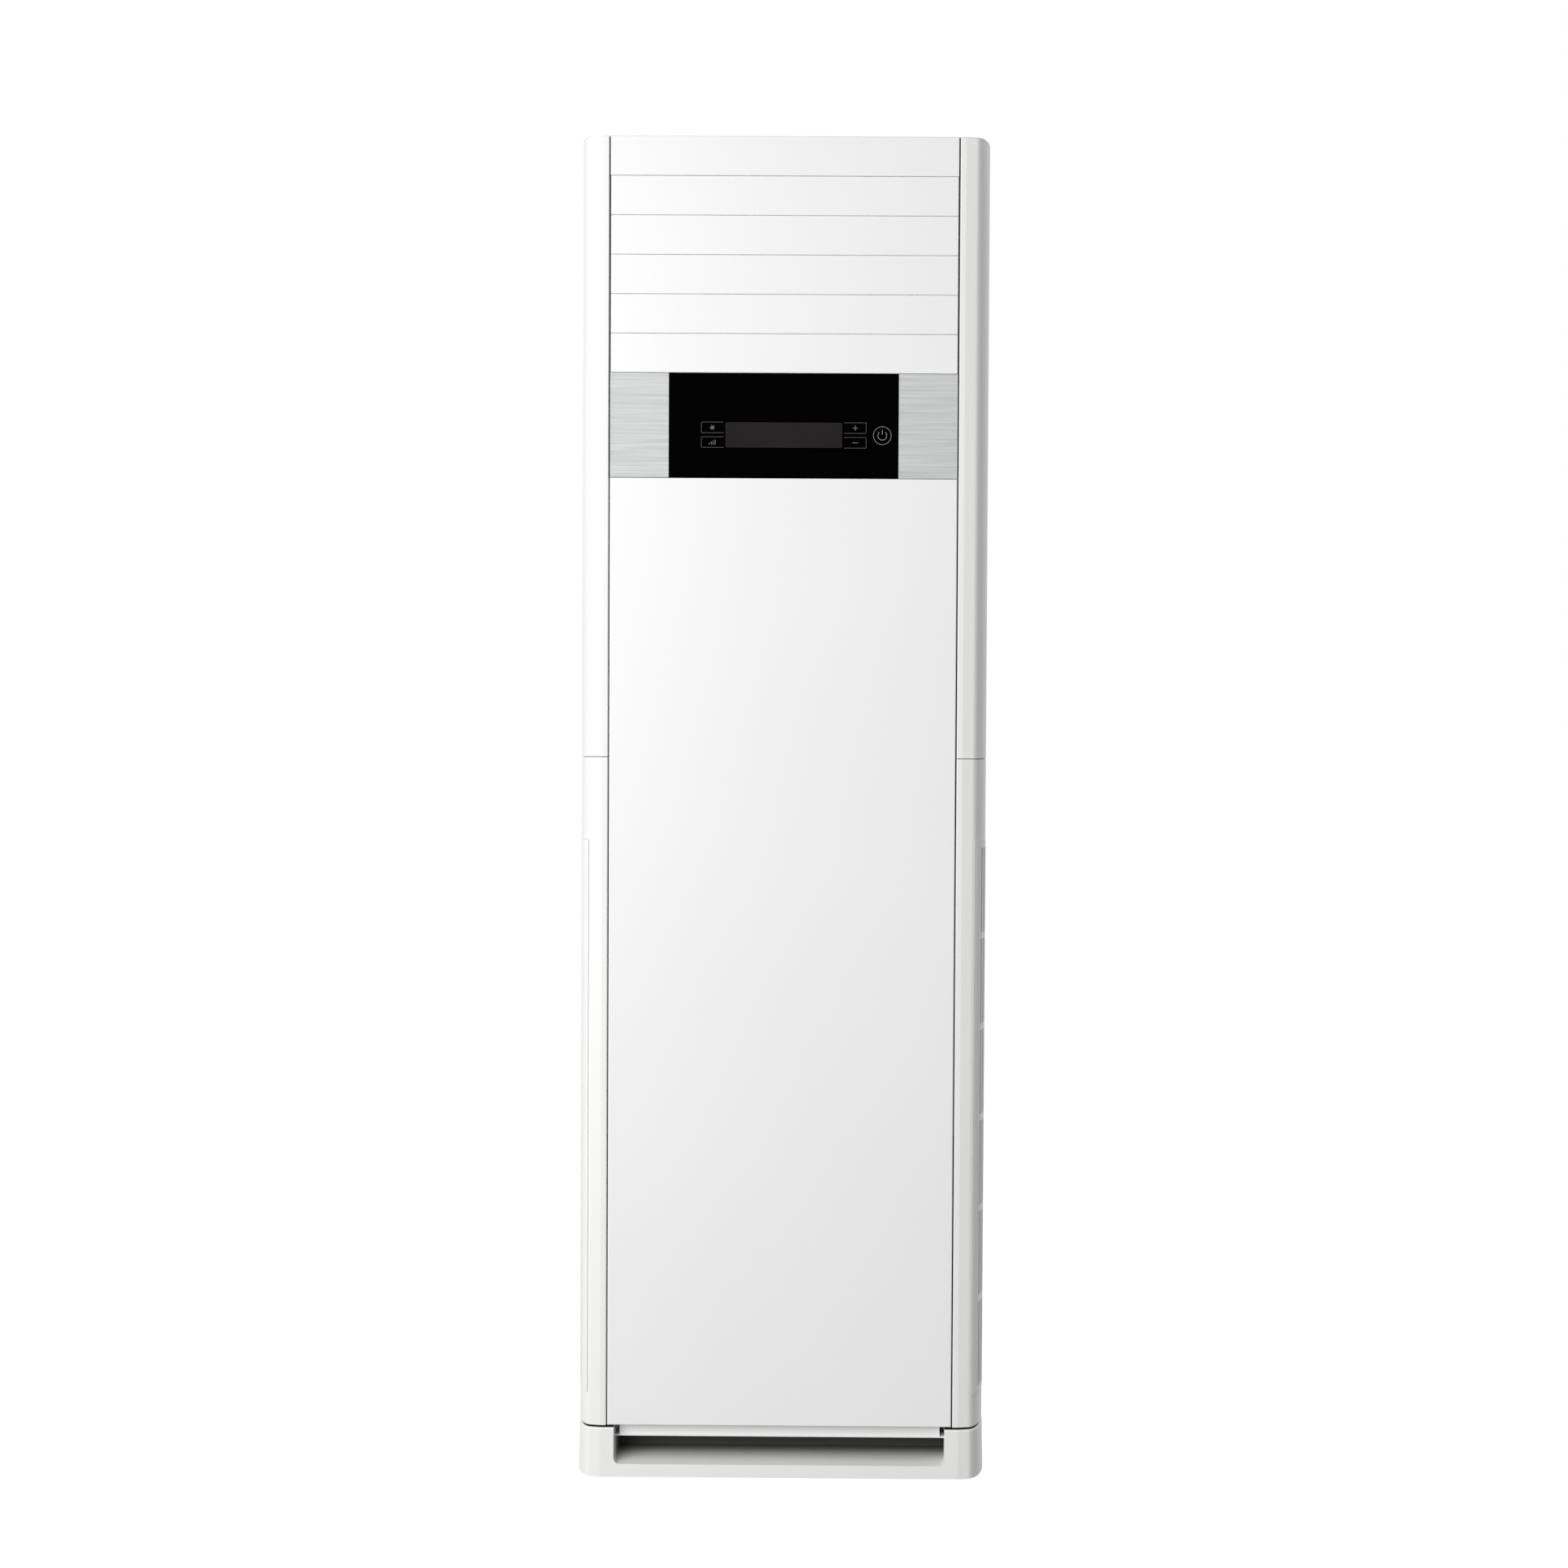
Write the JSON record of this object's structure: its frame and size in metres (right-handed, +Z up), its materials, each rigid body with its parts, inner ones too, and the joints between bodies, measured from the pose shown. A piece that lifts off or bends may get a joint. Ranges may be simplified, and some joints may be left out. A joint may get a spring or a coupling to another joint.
{
  "type": "floor standing air conditioner",
  "caption": "Tall floor-standing cabinet air conditioner indoor unit: horizontal louvre blades at the top, a black glass display band, a plain front panel, side intake grilles and a plinth.",
  "frame": {"origin": "on the floor, under the middle of the bounding box", "axes": "+Z up, the front with the louvre and display faces -Y, +X to the right as seen from the front"},
  "size_m": [0.57, 0.404, 1.85],
  "materials": {
    "white_paint": "smooth satin powder coat",
    "white_gloss_panel": "moulded, high gloss",
    "white_plastic": "moulded, fine satin",
    "dark_plastic": "moulded, fine texture",
    "grey_plastic": "moulded, satin",
    "black_glass": "polished black back-painted glass",
    "brushed_metal": "fine horizontal brushing",
    "galvanised_steel": "hot-dip zinc, dull spangle",
    "zinc_steel": "bright zinc plate",
    "rubber": "moulded, matt",
    "filter_net": "moulded frame and fine net",
    "foam": "moulded expanded foam",
    "fin_aluminium": "thin pressed fins",
    "copper": "drawn copper, lightly tarnished",
    "brass": "machined brass",
    "circuit_board": "solder-masked laminate with parts",
    "hose": "extruded soft hose"
  },
  "bodies": {
    "cabinet": {"base_pads": "rubber", "base_plinth": "white_paint", "blower_housing": "galvanised_steel", "blower_inlet_plate": "galvanised_steel", "cable_gland": "dark_plastic", "casing_screws": "zinc_steel", "control_board": "circuit_board", "deck_plate": "galvanised_steel", "display_board": "circuit_board", "display_frame": "dark_plastic", "display_glass": "black_glass", "drain_hose": "hose", "drain_pan": "grey_plastic", "electrical_box": "galvanised_steel", "electrical_box_cover": "galvanised_steel", "evaporator_fins": "fin_aluminium", "evaporator_tubes": "copper", "fan_motor": "zinc_steel", "filter_rails": "grey_plastic", "flare_unions": "brass", "front_panel": "white_gloss_panel", "gas_pipe": "copper", "inner_panel": "foam", "left_intake_grille": "white_plastic", "left_lower_post": "white_plastic", "left_side_panel": "white_paint", "left_upper_post": "white_plastic", "liquid_pipe": "copper", "louvre_motor": "zinc_steel", "motor_bracket": "galvanised_steel", "outlet_duct": "foam", "outlet_fascia": "white_gloss_panel", "outlet_frame": "dark_plastic", "pipe_grommet": "rubber", "rear_panel": "galvanised_steel", "right_intake_grille": "white_plastic", "right_lower_post": "white_plastic", "right_side_panel": "white_paint", "right_upper_post": "white_plastic", "top_cover": "white_paint", "trim_plates": "brushed_metal", "vane_motor": "zinc_steel", "wall_bracket": "galvanised_steel"},
    "blade_1": {"louvre_blade_1": "white_gloss_panel"},
    "blade_2": {"louvre_blade_2": "white_gloss_panel"},
    "blade_3": {"louvre_blade_3": "white_gloss_panel"},
    "blade_4": {"louvre_blade_4": "white_gloss_panel"},
    "blade_5": {"louvre_blade_5": "white_gloss_panel"},
    "louvre_link_bar": {"louvre_link": "grey_plastic"},
    "louvre_drive": {"louvre_crank": "grey_plastic"},
    "vane_body_1": {"vane_1": "dark_plastic"},
    "vane_body_2": {"vane_2": "dark_plastic"},
    "vane_body_3": {"vane_3": "dark_plastic"},
    "vane_body_4": {"vane_4": "dark_plastic"},
    "vane_body_5": {"vane_5": "dark_plastic"},
    "vane_link_bar": {"vane_link": "dark_plastic"},
    "fan": {"fan_impeller": "grey_plastic", "fan_shaft": "zinc_steel"},
    "left_filter_body": {"left_filter": "filter_net"},
    "right_filter_body": {"right_filter": "filter_net"}
  },
  "joints": [
    {"name": "louvre_1", "type": "hinge", "parent": "cabinet", "child": "blade_1", "pos_m": [0, -0.194, 1.76915], "axis": [1, 0, 0], "range_deg": [0, 90]},
    {"name": "louvre_2", "type": "hinge", "parent": "cabinet", "child": "blade_2", "pos_m": [0, -0.194, 1.71545], "axis": [1, 0, 0], "range_deg": [0, 90]},
    {"name": "louvre_3", "type": "hinge", "parent": "cabinet", "child": "blade_3", "pos_m": [0, -0.194, 1.66175], "axis": [1, 0, 0], "range_deg": [0, 90]},
    {"name": "louvre_4", "type": "hinge", "parent": "cabinet", "child": "blade_4", "pos_m": [0, -0.194, 1.60805], "axis": [1, 0, 0], "range_deg": [0, 90]},
    {"name": "louvre_5", "type": "hinge", "parent": "cabinet", "child": "blade_5", "pos_m": [0, -0.194, 1.55435], "axis": [1, 0, 0], "range_deg": [0, 90]},
    {"name": "louvre_link_pivot", "type": "hinge", "parent": "blade_1", "child": "louvre_link_bar", "pos_m": [0.24865, -0.1841, 1.75925], "axis": [1, 0, 0], "range_deg": [-90, 0]},
    {"name": "louvre_drive_turn", "type": "hinge", "parent": "cabinet", "child": "louvre_drive", "pos_m": [0.2521, -0.164, 1.66175], "axis": [1, 0, 0], "range_deg": [0, 90]},
    {"name": "vane_turn_1", "type": "hinge", "parent": "cabinet", "child": "vane_body_1", "pos_m": [-0.172, -0.122, 1.66175], "axis": [0, 0, 1], "range_deg": [-35, 35]},
    {"name": "vane_turn_2", "type": "hinge", "parent": "cabinet", "child": "vane_body_2", "pos_m": [-0.086, -0.122, 1.66175], "axis": [0, 0, 1], "range_deg": [-35, 35]},
    {"name": "vane_turn_3", "type": "hinge", "parent": "cabinet", "child": "vane_body_3", "pos_m": [0, -0.122, 1.66175], "axis": [0, 0, 1], "range_deg": [-35, 35]},
    {"name": "vane_turn_4", "type": "hinge", "parent": "cabinet", "child": "vane_body_4", "pos_m": [0.086, -0.122, 1.66175], "axis": [0, 0, 1], "range_deg": [-35, 35]},
    {"name": "vane_turn_5", "type": "hinge", "parent": "cabinet", "child": "vane_body_5", "pos_m": [0.172, -0.122, 1.66175], "axis": [0, 0, 1], "range_deg": [-35, 35]},
    {"name": "vane_link_pivot", "type": "hinge", "parent": "vane_body_1", "child": "vane_link_bar", "pos_m": [-0.172, -0.098, 1.66175], "axis": [0, 0, 1], "range_deg": [-35, 35]},
    {"name": "fan_spin", "type": "hinge", "parent": "cabinet", "child": "fan", "pos_m": [-0.022, 0, 0.56], "axis": [0, 1, 0], "continuous": true},
    {"name": "left_filter_slide", "type": "slide", "parent": "cabinet", "child": "left_filter_body", "axis": [0, 1, 0], "range_m": [0, 0.3]},
    {"name": "right_filter_slide", "type": "slide", "parent": "cabinet", "child": "right_filter_body", "axis": [0, 1, 0], "range_m": [0, 0.3]}
  ],
  "couplings": [
    {"joint": "louvre_2", "follows": "louvre_1", "ratio": 1},
    {"joint": "louvre_3", "follows": "louvre_1", "ratio": 1},
    {"joint": "louvre_4", "follows": "louvre_1", "ratio": 1},
    {"joint": "louvre_5", "follows": "louvre_1", "ratio": 1},
    {"joint": "louvre_link_pivot", "follows": "louvre_1", "ratio": -1},
    {"joint": "louvre_drive_turn", "follows": "louvre_1", "ratio": 1},
    {"joint": "vane_turn_2", "follows": "vane_turn_1", "ratio": 1},
    {"joint": "vane_turn_3", "follows": "vane_turn_1", "ratio": 1},
    {"joint": "vane_turn_4", "follows": "vane_turn_1", "ratio": 1},
    {"joint": "vane_turn_5", "follows": "vane_turn_1", "ratio": 1},
    {"joint": "vane_link_pivot", "follows": "vane_turn_1", "ratio": -1}
  ]
}
